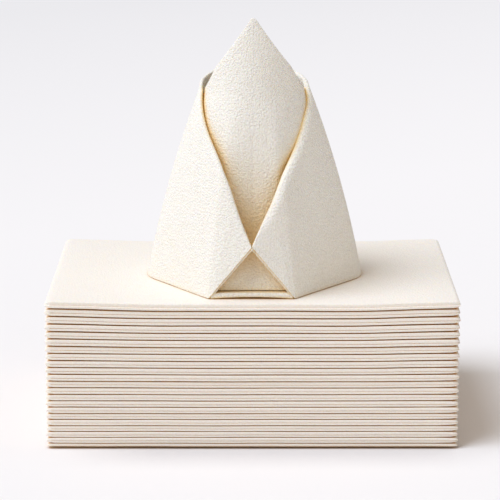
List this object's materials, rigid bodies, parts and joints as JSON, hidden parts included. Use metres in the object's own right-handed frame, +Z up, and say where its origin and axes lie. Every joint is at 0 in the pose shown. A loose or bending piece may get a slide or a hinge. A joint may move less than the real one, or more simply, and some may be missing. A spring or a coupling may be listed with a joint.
{
  "type": "stack of folded paper napkins",
  "caption": "Neat stack of flat folded cream paper napkins, with one more folded to stand on top as a pointed cone with two lapels.",
  "frame": {"origin": "middle of the stack's foot, on the table", "axes": "+Z up, -Y the front with the long folded edges, +X towards the end where the plies show"},
  "size_m": [0.2006, 0.134, 0.2092],
  "materials": {
    "napkin_paper": "matte"
  },
  "bodies": {
    "root": {"napkin_01": "napkin_paper", "napkin_02": "napkin_paper", "napkin_03": "napkin_paper", "napkin_04": "napkin_paper", "napkin_05": "napkin_paper", "napkin_06": "napkin_paper", "napkin_07": "napkin_paper", "napkin_08": "napkin_paper", "napkin_09": "napkin_paper", "napkin_10": "napkin_paper", "napkin_11": "napkin_paper", "napkin_12": "napkin_paper", "napkin_13": "napkin_paper", "napkin_14": "napkin_paper", "napkin_15": "napkin_paper", "napkin_16": "napkin_paper", "napkin_17": "napkin_paper", "napkin_18": "napkin_paper", "napkin_19": "napkin_paper", "napkin_20": "napkin_paper", "napkin_21": "napkin_paper", "napkin_22": "napkin_paper", "standing_napkin": "napkin_paper"}
  },
  "joints": []
}
